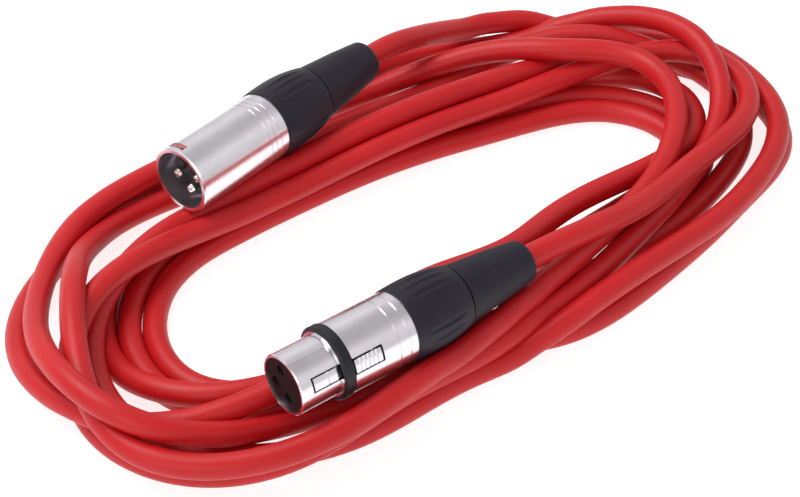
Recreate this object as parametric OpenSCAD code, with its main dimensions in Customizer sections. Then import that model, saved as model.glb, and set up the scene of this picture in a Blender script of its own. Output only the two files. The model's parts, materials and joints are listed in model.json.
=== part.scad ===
// Coiled microphone cable with a three-pin connector on each end.
// The coil lies flat on z = 0 and both connectors rest on top of it.

/* [Cable] */
// Diameter of the cable jacket
cable_d = 6.5; // [5.5:0.1:7]
// Length of the coil over its round ends
coil_l = 243; // [220:1:260]
// Width of the coil
coil_w = 133; // [120:1:140]
// Height of the stacked turns
coil_h = 13; // [12:0.5:13]
// Length of the hole in the coil
hole_l = 159; // [130:1:165]
// Width of the hole in the coil
hole_w = 48; // [30:1:60]
// Place of the hole's centre
hole_at = [-5, -6.5]; // [-10:0.5:10]

/* [Layout] */
// Height of both connector axes over the floor
axis_z = 23.6; // [23.5:0.1:26]
// Centre of the male connector's rim
male_at = [-57.3, 26.9]; // [-60:0.1:40]
// Turn of the male connector about the vertical
male_yaw = 10.6; // [0:0.1:15]
// Roll of the male connector about its own axis
male_roll = -15; // [-45:1:45]
// Centre of the female connector's face
female_at = [-82, -53.5]; // [-90:0.1:0]
// Roll of the female connector about its own axis
female_roll = 67; // [0:1:90]

/* [Metal shells] */
// Outside diameter of both shells
shell_d = 19; // [18.6:0.1:19.4]
// Length of the male shell
male_shell_l = 32; // [30:0.5:34]
// Length of the female shell
female_shell_l = 34; // [33:0.5:36]
// Bore of the male cup
cup_d = 16.4; // [16.3:0.1:16.8]
// Depth of the male cup
cup_depth = 12.6; // [12:0.1:13]
// Length of the female nose in front of the rubber ring
nose_l = 11.8; // [11.5:0.1:12.5]
// Diameter of the female nose
nose_d = 16.2; // [16:0.1:16.2]
// Bore of both shells behind the contacts
bore_d = 17; // [16.8:0.05:17]
// Outside diameter of the rubber ring behind the nose
seal_d = 19.5; // [19.2:0.1:20]
// Width of the rubber ring
seal_w = 3.1; // [3:0.1:3.6]

/* [Contacts] */
// Diameter of a male pin
pin_d = 2.4; // [2.3:0.05:2.45]
// Bore of a female socket
socket_d = 2.5; // [2.5:0.05:2.6]
// Distance of each contact from the connector's axis
pin_r = 3.81; // [3.7:0.01:3.9]
// Distance from the male rim to the tips of the pins
tip_x = 2; // [1.5:0.1:3]

/* [Nut and boot] */
// Largest diameter of the nut
nut_d = 20.1; // [19.6:0.1:20.4]
// Distance of the nut's widest part behind the shell
bulge_x = 6.5; // [5:0.5:8]
// Length of the nut behind the shell
nut_l = 18.2; // [17.5:0.1:20]
// Diameter of the nut's rear end
seam_d = 17; // [16.6:0.1:17.4]
// Length of the boot behind the nut
boot_l = 23; // [20:0.5:25]
// Diameter of the boot beside the nut
boot_d = 16.2; // [15.8:0.1:16.4]
// Diameter of the boot's rounded end
boot_end_d = 11.6; // [11:0.1:12]
// Diameter of the nut's threaded spigot
spigot_d = 16.9; // [16.6:0.05:16.9]
// Length of the spigot inside the shell
spigot_l = 6; // [5:0.5:7]

/* [Latch] */
// Width of the slot for the push tab
slot_w = 4.4; // [4.2:0.1:4.6]
// Distance of the plate's front edge behind the female face
hook_x = 3.9; // [3.6:0.1:5]
// Distance of the pivot behind the female face
pivot_x = 21.8; // [21.4:0.1:22.4]
// Height of the pivot over the connector's axis
pivot_z = 7; // [6.8:0.1:7.1]
// Ribs on the push tab
tab_ribs = 5; // [3:1:5]

/* [Hidden] */
$fn = 64;
chuck_l = 15;
step_x = 12;
core_x = 9;
grip_d = 13.6;
root_d = 3;
nose_end = nose_l + seal_w;
// Contacts: two beside the axis and one opposite the latch
pin_angles = [90, 180, 270];
// Route of the cable from the male boot to the coil
male_route = [[30, 43, 22], [37, 45, 19.2], [44, 46.8, 16.3], [51, 48.2, 13.4],
    [58, 49.3, 10.5], [65, 49.8, 8]];
// Route of the cable from the female boot to the coil
female_route = [[10, -53.5, 23], [20, -53, 21.5], [30, -52, 19.5], [40, -50, 17.8],
    [50, -47, 16.6], [59, -44.3, 15.8]];

// Places its children in the male connector, with x from the rim to the boot
module in_male() {
    translate([male_at[0], male_at[1], axis_z])
        rotate([0, 0, male_yaw]) rotate([male_roll, 0, 0]) children();
}

// Places its children in the female connector, with x from the face to the boot
module in_female() {
    translate([female_at[0], female_at[1], axis_z]) rotate([female_roll, 0, 0]) children();
}

// Round bar along x
module bar(d, x0, x1) {
    translate([x0, 0, 0]) rotate([0, 90, 0]) cylinder(d = d, h = x1 - x0);
}

// Round bar along x with a bore
module sleeve(outer, inner, x0, x1) {
    difference() {
        bar(outer, x0, x1);
        bar(inner, x0 - 1, x1 + 1);
    }
}

// Turns a profile of [x, radius] points about the x axis
module turned(profile) {
    rotate([0, 90, 0]) rotate_extrude() polygon([for (p = profile) [p[1], p[0]]]);
}

// Repeats its children at the three contacts
module at_contacts() {
    for (a = pin_angles) rotate([a, 0, 0]) translate([0, 0, pin_r]) children();
}

// Box between two values along each axis
module block(x, y, z) {
    translate([x[0], y[0], z[0]]) cube([x[1] - x[0], y[1] - y[0], z[1] - z[0]]);
}

// Point a given distance along a direction on the floor plan
function ahead(p, l, yaw) = [p[0] + l * cos(yaw), p[1] + l * sin(yaw), axis_z];
function unit(v) = v / norm(v);

// Round tube through a list of points
module swept(route, d, sides = 10) {
    n = len(route);
    rings = [for (i = [0 : n - 1])
        let (t = unit(route[min(i + 1, n - 1)] - route[max(i - 1, 0)]),
            u = unit(cross(t, [0, 0, 1])), v = cross(u, t))
        for (k = [0 : sides - 1]) let (a = 360 * k / sides)
            route[i] + d / 2 * (cos(a) * u + sin(a) * v)];
    walls = [for (i = [0 : n - 2], k = [0 : sides - 1]) let (m = (k + 1) % sides)
        [i * sides + k, i * sides + m, (i + 1) * sides + m, (i + 1) * sides + k]];
    caps = [[for (k = [sides - 1 : -1 : 0]) k], [for (k = [0 : sides - 1]) (n - 1) * sides + k]];
    polyhedron(rings, concat(walls, caps));
}

// Flat outline with round ends
module stadium(l, w) {
    square([l - w, w], center = true);
    for (s = [-1, 1]) translate([s * (l - w) / 2, 0]) circle(d = w, $fn = 96);
}

module cable_coil() {
    color("crimson") linear_extrude(coil_h) difference() {
        stadium(coil_l, coil_w);
        translate(hole_at) stadium(hole_l, hole_w);
    }
}

module male_lead() {
    l = male_shell_l + nut_l + boot_l;
    exit = [for (x = [l, l + 8]) ahead(male_at, x, male_yaw)];
    color("crimson") swept(concat(exit, male_route), cable_d);
}

module female_lead() {
    l = female_shell_l + nut_l + boot_l;
    exit = [for (x = [l, l + 8]) ahead(female_at, x, 0)];
    color("crimson") swept(concat(exit, female_route), cable_d);
}

// Shallow decorative grooves round the rear of a shell
module grooves(places) {
    for (x = places) sleeve(shell_d + 1, shell_d - 0.6, x, x + 0.4);
}

module male_shell() {
    color("silver") in_male() {
        difference() {
            turned([[0, 0], [0, shell_d / 2 - 0.4], [0.4, shell_d / 2],
                [male_shell_l, shell_d / 2], [male_shell_l, 0]]);
            bar(cup_d, -1, cup_depth);
            bar(15.2, cup_depth - 1, cup_depth + 2);
            bar(bore_d, cup_depth + 1, male_shell_l + 1);
            grooves([25.2, 27.1, 29]);
            // Window that catches the latch
            block([1.2, 3.2], [-2.8, 2.8], [6, 10]);
        }
        // Key that fits the groove in the nose
        rotate([49, 0, 0]) block([1, cup_depth + 0.5], [-0.8, 0.8], [7.75, cup_d / 2 + 0.1]);
    }
}

module male_insert() {
    color("#1c1b20") in_male() difference() {
        union() {
            bar(15.1, cup_depth, cup_depth + 1.5);
            bar(bore_d - 0.1, cup_depth + 1, male_shell_l - spigot_l);
        }
        at_contacts() bar(root_d - 0.1, cup_depth - 1, male_shell_l);
        ground_slot(male_shell_l - spigot_l - 8);
    }
}

// Slot in an insert for the ground contact
module ground_slot(x) {
    block([x, x + 6], [-1.6, 1.6], [7.7, 9]);
}

// Spring strip that joins the shell to earth
module ground_strip(x) {
    color("goldenrod") block([x + 0.1, x + 5.9], [-1.5, 1.5], [7.7, 8.2]);
}

module male_ground_contact() {
    in_male() ground_strip(male_shell_l - spigot_l - 8);
}

// Solder cup behind a contact
module solder_cup(x) {
    difference() {
        bar(pin_d, x, x + 5);
        bar(1.6, x + 2, x + 6);
        block([x + 3, x + 6], [-2, 2], [0, 2]);
    }
}

module male_contacts() {
    rear = male_shell_l - spigot_l;
    color("silver") in_male() at_contacts() {
        turned([[tip_x, 0], [tip_x, 0.5], [tip_x + 0.3, 0.9], [tip_x + 1, pin_d / 2],
            [cup_depth, pin_d / 2], [cup_depth, root_d / 2], [rear, root_d / 2], [rear, 0]]);
        solder_cup(rear);
    }
}

// Clamp that grips the cable behind the insert
module chuck(x) {
    color("#2a2a30") difference() {
        bar(grip_d, x, x + chuck_l);
        bar(11.6, x - 1, x + 8);
        bar(cable_d - 0.1, x, x + chuck_l + 1);
        for (a = [0, 90]) rotate([a, 0, 0]) {
            block([x + 3, x + 7.5], [-8, 8], [-2.5, 2.5]);
            block([x + 10, x + chuck_l + 1], [-8, 8], [-0.6, 0.6]);
        }
    }
}

module male_chuck() {
    in_male() chuck(male_shell_l - spigot_l);
}

module female_chuck() {
    in_female() chuck(female_shell_l - spigot_l);
}

// End of the jacket inside the connector
module cable_end(shell_l) {
    color("crimson") bar(cable_d, shell_l - spigot_l + core_x, shell_l + nut_l + boot_l);
}

module male_cable_end() {
    in_male() cable_end(male_shell_l);
}

module female_cable_end() {
    in_female() cable_end(female_shell_l);
}

// Insulated wires from the solder cups to the jacket
module conductors(x) {
    colors = ["#e8e8e8", "#c8b090", "#304090"];
    lean = atan((pin_r - 1.6) / 5.5);
    for (i = [0 : 2]) color(colors[i]) rotate([pin_angles[i], 0, 0])
        translate([x + 4.2, 0, pin_r]) rotate([0, lean, 0]) bar(1.4, 0, 6);
}

module male_conductors() {
    in_male() conductors(male_shell_l - spigot_l);
}

module female_conductors() {
    in_female() conductors(female_shell_l - spigot_l);
}

// Outside radius of the nut at a distance behind the shell
function nut_r(t) = nut_d / 2 - (t < bulge_x ? 0.25 * pow(1 - t / bulge_x, 2)
    : (nut_d - seam_d) / 2 * pow((t - bulge_x) / (nut_l - bulge_x), 2));

// Threaded nut with three flutes in each quarter
module nut(x, turn) {
    outline = [for (t = [0 : nut_l / 10 : nut_l]) [t, nut_r(t)]];
    flute = [3, nut_l - 3];
    lean = atan((nut_r(flute[0]) - nut_r(flute[1])) / (flute[1] - flute[0]));
    color("#24242b") translate([x, 0, 0]) difference() {
        union() {
            turned(concat([[0, 0]], outline, [[nut_l, 0]]));
            bar(spigot_d, -spigot_l, 1);
        }
        bar(14, -spigot_l - 1, step_x);
        bar(12.5, step_x - 1, nut_l + 1);
        for (q = [0 : 3], k = [-1 : 1]) rotate([turn + 90 * q + 16 * k, 0, 0])
            translate([flute[0], 0, nut_r(flute[0]) + 1.3]) rotate([0, lean, 0])
                bar(2.8, -6, nut_l - 2);
    }
}

module male_nut() {
    in_male() nut(male_shell_l, 22);
}

module female_nut() {
    in_female() nut(female_shell_l, 22);
}

// Rubber sleeve that turns in the nut and eases the bend of the cable
module boot(x) {
    round = 1.6;
    wall = boot_end_d / 2;
    mouth = boot_d / 2;
    // Collar against the step in the nut's bore
    collar = step_x - 2 - nut_l;
    curve = [for (a = [0 : 15 : 90])
        [boot_l - round + round * sin(a), wall - round + round * cos(a)]];
    color("#24242b") translate([x, 0, 0]) difference() {
        union() {
            turned(concat([[0, 0], [0, mouth - 0.8], [0.4, mouth - 0.8], [0.6, mouth],
                [0.6 * boot_l, 0.84 * mouth]], curve, [[boot_l, 0]]));
            bar(12.4, collar + 1, 1);
            bar(13.8, collar, collar + 2);
        }
        bar(cable_d + 0.2, collar - 1, boot_l + 1);
    }
}

module male_boot() {
    in_male() boot(male_shell_l + nut_l);
}

module female_boot() {
    in_female() boot(female_shell_l + nut_l);
}

module female_shell() {
    color("silver") in_female() difference() {
        union() {
            turned([[0, 0], [0, nose_d / 2 - 0.3], [0.3, nose_d / 2],
                [nose_l, nose_d / 2], [nose_l, 0]]);
            bar(17.5, nose_l, nose_end);
            bar(shell_d, nose_end, female_shell_l);
        }
        bar(14.6, -1, nose_end + 1);
        bar(bore_d, nose_end, female_shell_l + 1);
        grooves([28.3, 31.4]);
        // Openings for the latch
        block([hook_x - 0.5, nose_end], [-2, 2], [4, 9]);
        block([nose_end - 0.1, pivot_x + 1.9], [-slot_w / 2, slot_w / 2], [4, 10]);
        // Keyway along the nose
        rotate([-49, 0, 0]) block([-1, nose_l - 0.5], [-1, 1], [7.6, 9]);
        translate([pivot_x, 0, pivot_z]) rotate([90, 0, 0])
            cylinder(d = 1.45, h = 10, center = true);
    }
}

module female_insert() {
    rear = female_shell_l - spigot_l;
    color("#1c1b20") in_female() difference() {
        union() {
            bar(14.5, 0.4, nose_end + 1);
            bar(bore_d - 0.1, nose_end, rear);
        }
        at_contacts() {
            bar(2.9, 0, 2);
            bar(3.3, 1.4, rear + 1);
        }
        // Channel under the latch
        block([hook_x - 0.6, pivot_x + 1.9], [-2.3, 2.3], [4, 9]);
        translate([pivot_x, 0, pivot_z]) rotate([90, 0, 0]) cylinder(d = 1.6, h = 20, center = true);
        rotate([180, 0, 0]) ground_slot(rear - 8);
    }
}

module female_ground_contact() {
    in_female() rotate([180, 0, 0]) ground_strip(female_shell_l - spigot_l - 8);
}

module female_contacts() {
    rear = female_shell_l - spigot_l;
    color("goldenrod") in_female() at_contacts() {
        difference() {
            bar(3.4, 1.4, rear);
            bar(socket_d, 0, 14);
        }
        solder_cup(rear);
    }
}

module female_latch() {
    color("gainsboro") in_female() difference() {
        intersection() {
            union() {
                block([hook_x, nose_l - 1.2], [-1.6, 1.6], [6.4, 8.2]);
                block([nose_l - 1.3, nose_end + 1], [-1.6, 1.6], [6, 7.4]);
                block([nose_end + 0.4, pivot_x + 1.4], [-1.9, 1.6], [5.9, 9.5]);
            }
            turned([[0, 0], [0, nose_d / 2], [nose_l, nose_d / 2],
                [nose_l, shell_d / 2 - 0.15], [pivot_x + 5, shell_d / 2 - 0.15], [pivot_x + 5, 0]]);
        }
        block([hook_x + 4, hook_x + 4.4], [-3, 3], [7.6, 9]);
        for (i = [0 : tab_ribs - 1]) translate([nose_end + 1.6 + 1.25 * i, 0, 0])
            block([0, 0.6], [-3, 3], [9, 10]);
        translate([pivot_x, 0, pivot_z]) rotate([90, 0, 0]) {
            cylinder(d = 1.6, h = 10, center = true);
            cylinder(d = 3.2, h = 2, center = true);
        }
        block([pivot_x - 1.6, pivot_x + 1.6], [-1, 1], [5, pivot_z]);
    }
}

module female_latch_pin() {
    color("silver") in_female() translate([pivot_x, 0, pivot_z]) rotate([90, 0, 0])
        cylinder(d = 1.5, h = 10, center = true);
}

module female_latch_spring() {
    color("silver") in_female() translate([pivot_x, 0, pivot_z]) {
        for (y = [-0.5, 0, 0.5]) translate([0, y, 0]) rotate([90, 0, 0])
            rotate_extrude() translate([1.1, 0]) circle(d = 0.5, $fn = 24);
        translate([1.1, 0, 4 - pivot_z]) cylinder(d = 0.5, h = pivot_z - 4, $fn = 24);
    }
}

module female_seal_ring() {
    x = nose_l;
    edge = seal_d / 2 - 0.5;
    color("#1c1b20") in_female() turned([[x, 8.75], [x, edge], [x + 0.5, seal_d / 2],
        [x + seal_w - 0.5, seal_d / 2], [x + seal_w, edge], [x + seal_w, 8.75]]);
}

cable_coil();
male_lead();
female_lead();
male_shell();
male_insert();
male_contacts();
male_ground_contact();
male_chuck();
male_cable_end();
male_conductors();
male_nut();
male_boot();
female_shell();
female_insert();
female_contacts();
female_ground_contact();
female_chuck();
female_cable_end();
female_conductors();
female_nut();
female_boot();
female_latch();
female_latch_pin();
female_latch_spring();
female_seal_ring();
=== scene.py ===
"""Coiled red microphone cable with a male and a female connector lying on top of it."""
import json
import math

import bpy
import numpy as np
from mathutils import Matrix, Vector


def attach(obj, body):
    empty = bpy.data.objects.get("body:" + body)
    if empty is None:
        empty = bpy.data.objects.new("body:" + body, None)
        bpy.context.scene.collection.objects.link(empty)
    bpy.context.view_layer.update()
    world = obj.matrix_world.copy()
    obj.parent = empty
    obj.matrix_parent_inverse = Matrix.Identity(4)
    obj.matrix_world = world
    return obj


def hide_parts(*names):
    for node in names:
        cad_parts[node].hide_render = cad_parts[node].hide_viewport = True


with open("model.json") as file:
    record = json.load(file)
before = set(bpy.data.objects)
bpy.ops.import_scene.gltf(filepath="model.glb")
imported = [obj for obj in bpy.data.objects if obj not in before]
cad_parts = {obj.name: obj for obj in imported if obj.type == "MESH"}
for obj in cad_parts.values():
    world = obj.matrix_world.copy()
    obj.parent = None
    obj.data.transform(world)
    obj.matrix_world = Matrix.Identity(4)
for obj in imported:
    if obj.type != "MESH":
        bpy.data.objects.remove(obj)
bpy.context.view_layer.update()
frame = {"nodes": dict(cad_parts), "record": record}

MM = 0.001

# ---------------------------------------------------------------- camera
CAMERA_TARGET = Vector((-0.0115, -0.0085, 0.0))
CAMERA_DISTANCE = 0.648
CAMERA_ELEVATION = math.radians(40)
CAMERA_AZIMUTH = math.radians(38)
CAMERA_LENS = 108.15
SENSOR_WIDTH = 36
NEAR_CLIP = 0.01


def make_camera():
    ahead = Vector((
        math.sin(CAMERA_AZIMUTH) * math.cos(CAMERA_ELEVATION),
        math.cos(CAMERA_AZIMUTH) * math.cos(CAMERA_ELEVATION),
        -math.sin(CAMERA_ELEVATION),
    ))
    camera = bpy.data.objects.new("camera", bpy.data.cameras.new("camera"))
    camera.data.lens = CAMERA_LENS
    camera.data.sensor_width = SENSOR_WIDTH
    camera.data.clip_start = NEAR_CLIP
    camera.location = CAMERA_TARGET - CAMERA_DISTANCE * ahead
    camera.rotation_euler = ahead.to_track_quat("-Z", "Y").to_euler()
    bpy.context.scene.collection.objects.link(camera)
    bpy.context.scene.camera = camera


make_camera()

# ---------------------------------------------------------------- cable
CABLE_D = 6.5
CABLE_R = CABLE_D / 2

# The connectors' front ends and lengths, in mm, as the CAD has them
AXIS_Z = 23.6
NUT_L = 18.2
BOOT_L = 23
MALE_AT = (-57.3, 26.9)
MALE_YAW = math.radians(10.6)
MALE_SHELL_L = 32
FEMALE_AT = (-82.0, -53.5)
FEMALE_YAW = 0.0
FEMALE_SHELL_L = 34
# The cable runs straight for this far behind each boot
STRAIGHT = 8
# Shell, nut and boot as plain bars: where each begins and ends, and its radius
HOUSINGS = ((0, 34, 9.6), (32, 46, 10.1), (45, 53, 9.4), (51, 63, 8.2), (62, 75, 6.8))
# Room kept in front of and behind each bar
ROOM_AHEAD = 2
ROOM_BEHIND = 1

# Uncoiled stretches from each boot to the coil, in mm
MALE_ROUTE = [(30, 43, 22), (37, 45, 19.2), (44, 46.8, 16.3), (51, 48.2, 13.4),
              (58, 49.3, 10.5), (65, 49.8, 8)]
FEMALE_ROUTE = [(10, -53.5, 23), (20, -53, 21.5), (30, -52, 19.5), (40, -50, 17.8),
                (50, -47, 16.6), (59, -44.3, 15.8)]

# The coil turns round a line from LEFT to RIGHT, clockwise from above. Each turn has
# twenty stations: four along the top, six round the right end, four along the bottom
# and six round the left end. A row gives how far one turn lies from the line at each
# station, in mm, and how high it lies over the floor, in half diameters.
LEFT = np.array((-60.0, -6.0))
RIGHT = np.array((50.0, -10.0))
ALONG = 4
ROUND = 6
FIRST_STATION = 6
TURNS = [
    ((61, 58, 58, 51, 51, 55, 57, 54, 56, 55, 54, 47, 37, 32), "02222220000212"),
    ((32, 32, 32, 31, 29, 34, 49, 58, 60, 48, 49, 55, 56, 40, 33, 33, 34, 28, 25, 24),
     "23333200000000000110"),
    ((27, 29, 29, 26, 21, 20, 24, 28, 32, 27, 25, 28, 32, 39, 40, 39, 38, 34, 30, 29),
     "01110000000002001000"),
    ((32, 33, 32, 31, 26, 26, 30, 33, 37, 33, 31, 34, 33, 33, 35, 38, 42, 40, 37, 37),
     "01111000000121222100"),
    ((38, 39, 38, 36, 33, 34, 40, 37, 35, 26, 22, 25, 35, 32, 38, 44, 56, 61, 59, 54),
     "00000002222143432100"),
    ((56, 59, 60, 57, 44, 28, 33, 32, 28, 27, 32, 41, 49, 55, 60, 65, 67, 51, 43, 46),
     "00002443443333332451"),
    ((51, 49, 50, 49, 46, 46, 46, 53, 48, 39, 40, 42, 47, 49, 45, 49, 64, 59, 53, 52),
     "00000022000000214312"),
    ((54, 57, 58, 62, 61, 55, 52, 48, 41, 34, 37, 46, 53, 54, 56, 62, 61, 53, 36, 26),
     "22220126322222210134"),
    ((25, 28, 27, 26, 24, 26, 36, 53, 49, 37), "3333322434"),
]
# The turns are drawn with a point every SPLIT stations, and the cable is then made of
# points STEP mm apart
SPLIT = 0.1
STEP = 2.5
BEVEL_RESOLUTION = 6

# How the cable settles: passes, and how often the pairs that may touch are found anew
SETTLE_PASSES = 700
RENEW = 20
# Points this near in plan are a pair, unless they are neighbours along the cable
PAIR_REACH = 9.5
NEIGHBOURS = 9
PAIR_BLOCK = 200
# Two turns are stacked, not side by side, where they are this near in plan
STACK_REACH = 5.2
# Sinking in each pass, in mm, in the first and in the second half of the passes
SINK_FIRST = 0.02
SINK_LATER = 0.002
# Pull towards the lane, and stiffness over short and long stretches
LANE_PULL = 0.12
STIFFNESS = ((1, 0.35), (4, 0.25))
# Part of an overlap that one pass takes away
PUSH = 1.3
# Points held still at the male and the female end
HELD_START = 20
HELD_END = 24
# Rounds of smoothing before and after the settling
SOFTEN_FIRST = 6
SOFTEN_LAST = 2


def station(number):
    """Point on the line and outward angle at a station."""
    k = number % (2 * (ALONG + ROUND))
    half, k = divmod(k, ALONG + ROUND)
    start, end = (LEFT, RIGHT) if half == 0 else (RIGHT, LEFT)
    if k < ALONG:
        return start + (end - start) * k / ALONG, 90 - 180 * half
    return end, 90 - 180 * half - 180 * (k - ALONG) / ROUND


def smooth(values, u):
    """Cubic through values given at whole numbers."""
    n = len(values)
    k = np.clip(np.floor(u).astype(int), 0, n - 2)
    f = u - k
    a, b, c, d = (values[np.clip(k + i, 0, n - 1)] for i in (-1, 0, 1, 2))
    return b + 0.5 * f * (c - a + f * (2 * a - 5 * b + 4 * c - d + f * (3 * (b - c) + d - a)))


def coil_points():
    """Points of the coil's turns before they settle."""
    radii = np.array([r for row, _ in TURNS for r in row], float)
    lifts = np.array([int(c) for _, row in TURNS for c in row], float)
    u = np.arange(0, len(radii) - 1, SPLIT)
    points = []
    for x, r, lift in zip(u, smooth(radii, u), np.interp(u, range(len(lifts)), lifts)):
        k = int(x)
        (p, a), (q, b) = station(k + FIRST_STATION), station(k + 1 + FIRST_STATION)
        angle = math.radians(a + ((b - a + 180) % 360 - 180) * (x - k))
        centre = p + (q - p) * (x - k)
        points.append((centre[0] + r * math.cos(angle), centre[1] + r * math.sin(angle),
                       CABLE_R * (1 + lift)))
    return points


def exit_points(start, yaw, length):
    """End of a boot, and end of the straight stretch behind it."""
    return [(start[0] + l * math.cos(yaw), start[1] + l * math.sin(yaw), AXIS_Z)
            for l in (length, length + STRAIGHT)]


def evenly(points, step):
    """The same line with its points a step apart."""
    points = np.array(points, float)
    along = np.r_[0, np.cumsum(np.linalg.norm(np.diff(points, axis=0), axis=1))]
    where = np.linspace(0, along[-1], int(along[-1] / step) + 1)
    return np.stack([np.interp(where, along, points[:, i]) for i in range(3)], 1)


def soften(points, times):
    """Takes small kinks out of a line and leaves its ends."""
    points = points.copy()
    for _ in range(times):
        points[1:-1] += 0.25 * (points[:-2] - 2 * points[1:-1] + points[2:])
    return points


def housings():
    """The connectors as straight bars: start, direction, length and radius."""
    bars = []
    for at, yaw in ((MALE_AT, MALE_YAW), (FEMALE_AT, FEMALE_YAW)):
        start = np.array((*at, AXIS_Z))
        ahead = np.array((math.cos(yaw), math.sin(yaw), 0.0))
        for begin, end, radius in HOUSINGS:
            bars.append((start + begin * ahead, ahead, end - begin, radius))
    return bars


def close_pairs(points):
    """Pairs of points on different stretches of the cable that are near in plan."""
    first, second = [], []
    for start in range(0, len(points), PAIR_BLOCK):
        block = points[start:start + PAIR_BLOCK, :2]
        gap = np.abs(block[:, None] - points[None, :, :2]).max(axis=2)
        i, j = np.nonzero(gap < PAIR_REACH)
        keep = j - (i + start) > NEIGHBOURS
        first.append(i[keep] + start)
        second.append(j[keep])
    return np.concatenate(first), np.concatenate(second)


def bow(points, reach):
    """How far each point is from the smooth curve through its neighbours."""
    near = points[reach:-3 * reach] + points[3 * reach:-reach]
    far = points[:-4 * reach] + points[4 * reach:]
    return (4 * near - far) / 6 - points[2 * reach:-2 * reach]


def keep_apart(points, pairs, order):
    """Moves turns that sink into each other apart: up and down where one lies on the
    other, sideways where they lie side by side."""
    i, j = pairs
    gap = points[i] - points[j]
    flat = np.hypot(gap[:, 0], gap[:, 1])
    far = np.linalg.norm(gap, axis=1)
    stacked = (flat < STACK_REACH) & (order != 0)
    lift = np.sqrt(np.maximum(CABLE_D ** 2 - flat ** 2, 0)) - gap[:, 2] * order
    on = stacked & (lift > 0)
    push = np.zeros((on.sum(), 3))
    push[:, 2] = 0.5 * (lift * order)[on]
    beside = ~stacked & (far < CABLE_D)
    away = gap[beside] / np.maximum(far[beside], 1e-6)[:, None]
    away *= 0.5 * (CABLE_D - far[beside])[:, None]
    move = np.zeros_like(points)
    hits = np.zeros(len(points))
    for pick, shove in ((on, push), (beside, away)):
        np.add.at(move, i[pick], shove)
        np.add.at(move, j[pick], -shove)
        np.add.at(hits, i[pick], 1)
        np.add.at(hits, j[pick], 1)
    points += PUSH * move / np.maximum(hits, 1)[:, None]


def keep_under(points, free, bars):
    """Presses what lies under a connector down, clear of it."""
    for start, ahead, length, radius in bars:
        off = points - start
        along = off @ ahead
        off -= along[:, None] * ahead
        across = np.hypot(off[:, 0], off[:, 1])
        beneath = (along > -ROOM_AHEAD) & (along < length + ROOM_BEHIND)
        under = beneath & (across < radius + CABLE_R) & free
        roof = AXIS_Z - np.sqrt(np.maximum((radius + CABLE_R) ** 2 - across ** 2, 0))
        points[under, 2] = np.minimum(points[under, 2], roof[under])


def settle(lanes):
    """Lets the turns come to rest on the floor and on each other."""
    points = lanes.copy()
    bars = housings()
    number = np.arange(len(points))
    free = (number >= HELD_START) & (number < len(points) - HELD_END)
    for turn in range(SETTLE_PASSES):
        if turn % RENEW == 0:
            i, j = close_pairs(points)
            height = lanes[i, 2] - lanes[j, 2]
            order = np.where(np.abs(height) < 1, 0, np.sign(height))
        points[:, 2] -= SINK_FIRST if turn < SETTLE_PASSES / 2 else SINK_LATER
        points[:, :2] += LANE_PULL * (lanes[:, :2] - points[:, :2])
        for reach, strength in STIFFNESS:
            points[2 * reach:-2 * reach] += strength * bow(points, reach)
        keep_apart(points, (i, j), order)
        keep_under(points, free, bars)
        points[:, 2] = np.maximum(points[:, 2], CABLE_R)
        points[~free] = lanes[~free]
    return points


def cable_path():
    """The whole cable from the male boot to the female boot, in mm."""
    male_l = MALE_SHELL_L + NUT_L + BOOT_L
    female_l = FEMALE_SHELL_L + NUT_L + BOOT_L
    male = exit_points(MALE_AT, MALE_YAW, male_l) + MALE_ROUTE
    female = (exit_points(FEMALE_AT, FEMALE_YAW, female_l) + FEMALE_ROUTE)[::-1]
    line = evenly(male + coil_points() + female, STEP)
    return soften(settle(soften(line, SOFTEN_FIRST)), SOFTEN_LAST)


def make_cable():
    """A round tube along the path, and the path and its length in metres."""
    path = cable_path() * MM
    curve = bpy.data.curves.new("cable", "CURVE")
    curve.dimensions = "3D"
    curve.bevel_depth = CABLE_R * MM
    curve.bevel_resolution = BEVEL_RESOLUTION
    curve.use_fill_caps = True
    curve.twist_mode = "MINIMUM"
    spline = curve.splines.new("POLY")
    spline.points.add(len(path) - 1)
    spline.points.foreach_set("co", np.c_[path, np.ones(len(path))].ravel())
    spline.use_smooth = True
    swept = bpy.data.objects.new("cable_line", curve)
    cable = bpy.data.objects.new("cable", bpy.data.meshes.new_from_object(swept))
    bpy.data.objects.remove(swept)
    bpy.context.scene.collection.objects.link(cable)
    length = float(np.linalg.norm(np.diff(path, axis=0), axis=1).sum())
    return cable, path, length


cable, path, cable_length = make_cable()
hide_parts("cable_coil", "male_lead", "female_lead")
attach(cable, "cable")


# ---------------------------------------------------------------- materials
# The part of the noise's range that is spread over two tones or two values
NOISE_LOW = 0.3
NOISE_HIGH = 0.7
PATCH_DETAIL = 4.0
GRAIN_DETAIL = 6.0


def new_material(name):
    """A node material with its node tree and its shader."""
    material = bpy.data.materials.new(name)
    material.use_nodes = True
    return material, material.node_tree, material.node_tree.nodes["Principled BSDF"]


def noise(tree, scale, detail):
    """Noise in object coordinates."""
    place = tree.nodes.new("ShaderNodeTexCoord")
    texture = tree.nodes.new("ShaderNodeTexNoise")
    texture.inputs["Scale"].default_value = scale
    texture.inputs["Detail"].default_value = detail
    tree.links.new(place.outputs["Object"], texture.inputs["Vector"])
    return texture.outputs["Fac"]


def spread(tree, fac, low, high):
    """Turns noise into a value between low and high."""
    ranged = tree.nodes.new("ShaderNodeMapRange")
    ranged.inputs["From Min"].default_value = NOISE_LOW
    ranged.inputs["From Max"].default_value = NOISE_HIGH
    ranged.inputs["To Min"].default_value = low
    ranged.inputs["To Max"].default_value = high
    tree.links.new(fac, ranged.inputs["Value"])
    return ranged.outputs["Result"]


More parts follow.
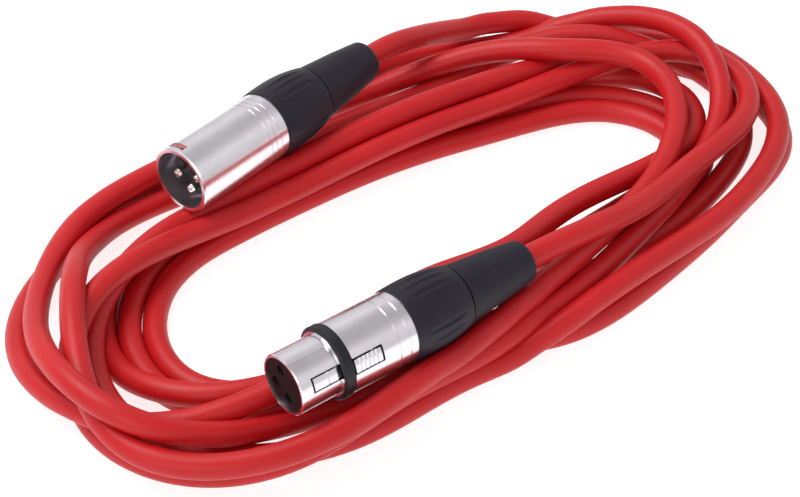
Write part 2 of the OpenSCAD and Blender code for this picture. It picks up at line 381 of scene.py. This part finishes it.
def two_tone(tree, fac, dark, light):
    """Turns noise into a colour between dark and light."""
    ramp = tree.nodes.new("ShaderNodeValToRGB")
    tones = ((NOISE_LOW, dark), (NOISE_HIGH, light))
    for element, (position, colour) in zip(ramp.color_ramp.elements, tones):
        element.position = position
        element.color = (*colour, 1)
    tree.links.new(fac, ramp.inputs["Fac"])
    return ramp.outputs["Color"]


def bump(tree, shader, height, distance):
    """Raises the surface by up to a distance in metres."""
    node = tree.nodes.new("ShaderNodeBump")
    node.inputs["Distance"].default_value = distance
    tree.links.new(height, node.inputs["Height"])
    tree.links.new(node.outputs["Normal"], shader.inputs["Normal"])


def surface(name, dark, light, rough, patch, grain, depth, metal=0.0, specular=0.5):
    """A material with patches of two tones, uneven gloss and a fine grain."""
    material, tree, shader = new_material(name)
    patches = noise(tree, patch, PATCH_DETAIL)
    fine = noise(tree, grain, GRAIN_DETAIL)
    tree.links.new(two_tone(tree, patches, dark, light), shader.inputs["Base Color"])
    tree.links.new(spread(tree, fine, *rough), shader.inputs["Roughness"])
    shader.inputs["Metallic"].default_value = metal
    shader.inputs["Specular IOR Level"].default_value = specular
    bump(tree, shader, fine, depth)
    return material


MATERIALS = {
    "cable_jacket": surface(
        "cable_jacket", (0.47, 0.006, 0.009), (0.54, 0.009, 0.012), rough=(0.40, 0.50),
        patch=45, grain=900, depth=0.00004, specular=0.35),
    "nickel": surface(
        "nickel", (0.86, 0.81, 0.86), (0.92, 0.87, 0.92), rough=(0.20, 0.26),
        patch=120, grain=500, depth=0.000002, metal=1.0),
    "black_plastic": surface(
        "black_plastic", (0.005, 0.004, 0.006), (0.009, 0.008, 0.010), rough=(0.45, 0.60),
        patch=300, grain=1500, depth=0.00001, specular=0.25),
    "pin_metal": surface(
        "pin_metal", (0.82, 0.80, 0.78), (0.93, 0.91, 0.89), rough=(0.12, 0.20),
        patch=400, grain=2500, depth=0.00001, metal=1.0),
    "contact_brass": surface(
        "contact_brass", (0.55, 0.40, 0.16), (0.68, 0.52, 0.24), rough=(0.25, 0.40),
        patch=400, grain=2500, depth=0.00001, metal=1.0),
    "spring_metal": surface(
        "spring_metal", (0.52, 0.50, 0.46), (0.64, 0.62, 0.58), rough=(0.25, 0.38),
        patch=400, grain=2500, depth=0.00001, metal=1.0),
    "clamp_plastic": surface(
        "clamp_plastic", (0.030, 0.030, 0.034), (0.045, 0.045, 0.050), rough=(0.35, 0.50),
        patch=250, grain=2200, depth=0.00003),
    "nut_plastic": surface(
        "nut_plastic", (0.009, 0.006, 0.014), (0.014, 0.010, 0.021), rough=(0.44, 0.54),
        patch=180, grain=1500, depth=0.00003, specular=0.3),
    "boot_rubber": surface(
        "boot_rubber", (0.009, 0.006, 0.014), (0.014, 0.010, 0.021), rough=(0.48, 0.60),
        patch=150, grain=1300, depth=0.00004, specular=0.3),
    "seal_rubber": surface(
        "seal_rubber", (0.007, 0.007, 0.009), (0.012, 0.012, 0.014), rough=(0.35, 0.48),
        patch=250, grain=1500, depth=0.00002, specular=0.35),
    "wire_plastic": surface(
        "wire_plastic", (0.68, 0.65, 0.60), (0.80, 0.77, 0.72), rough=(0.35, 0.45),
        patch=300, grain=2000, depth=0.00002),
}


def dress_nodes():
    """Gives every CAD node the material of its slot."""
    for part in frame["record"]["subparts"]:
        node = frame["nodes"][part["node"]]
        node.data.materials.clear()
        node.data.materials.append(MATERIALS[part["material_slot"]])


dress_nodes()
cable.data.materials.append(MATERIALS["cable_jacket"])


# ---------------------------------------------------------------- surroundings
FLOOR_SIZE = 8
FLOOR_Z = -0.0002
FLOOR_TONES = ((0.38, 0.38, 0.38), (0.40, 0.40, 0.40))
FLOOR_PATCH = 3
FLOOR_GLOW = 0.82

# Studio sky: height and grey of each stop, from below to straight above. The sides are
# bright and the ceiling dimmer, and the shells reflect it as a grey band.
SKY = ((0.0, (0.75, 0.75, 0.75)), (0.62, (1.0, 1.0, 1.0)), (0.80, (0.62, 0.62, 0.62)),
       (1.0, (0.45, 0.45, 0.46)))
SKY_STRENGTH = 0.8


def make_floor():
    """A white floor that glows a little, so that it shows almost no shadow."""
    bpy.ops.mesh.primitive_plane_add(size=FLOOR_SIZE, location=(0, 0, FLOOR_Z))
    floor = bpy.context.object
    floor.name = "floor"
    material, tree, shader = new_material("floor")
    patches = noise(tree, FLOOR_PATCH, PATCH_DETAIL)
    tree.links.new(two_tone(tree, patches, *FLOOR_TONES), shader.inputs["Base Color"])
    shader.inputs["Roughness"].default_value = 0.9
    shader.inputs["Specular IOR Level"].default_value = 0.1
    shader.inputs["Emission Color"].default_value = (1, 1, 1, 1)
    shader.inputs["Emission Strength"].default_value = FLOOR_GLOW
    floor.data.materials.append(material)


def make_light(name, place, size, power):
    """A rectangular lamp aimed at the middle of the floor."""
    light = bpy.data.lights.new(name, "AREA")
    light.shape = "RECTANGLE"
    light.size, light.size_y = size
    light.energy = power
    lamp = bpy.data.objects.new(name, light)
    lamp.location = place
    lamp.rotation_euler = (-Vector(place)).to_track_quat("-Z", "Y").to_euler()
    bpy.context.scene.collection.objects.link(lamp)


def make_world():
    """A sky that is shaded by height."""
    world = bpy.data.worlds.new("studio")
    world.use_nodes = True
    tree = world.node_tree
    background = tree.nodes["Background"]
    place = tree.nodes.new("ShaderNodeTexCoord")
    height = tree.nodes.new("ShaderNodeSeparateXYZ")
    sky = tree.nodes.new("ShaderNodeValToRGB")
    for stop, _ in SKY[1:-1]:
        sky.color_ramp.elements.new(stop)
    for element, (_, colour) in zip(sky.color_ramp.elements, SKY):
        element.color = (*colour, 1)
    tree.links.new(place.outputs["Generated"], height.inputs["Vector"])
    tree.links.new(height.outputs["Z"], sky.inputs["Fac"])
    tree.links.new(sky.outputs["Color"], background.inputs["Color"])
    background.inputs["Strength"].default_value = SKY_STRENGTH
    bpy.context.scene.world = world


make_floor()
make_light("key", place=(-0.25, 0.35, 0.9), size=(0.7, 0.5), power=7)
make_light("fill", place=(-0.8, -0.5, 0.5), size=(0.6, 0.6), power=2)
make_world()
bpy.context.scene.view_settings.view_transform = "Standard"
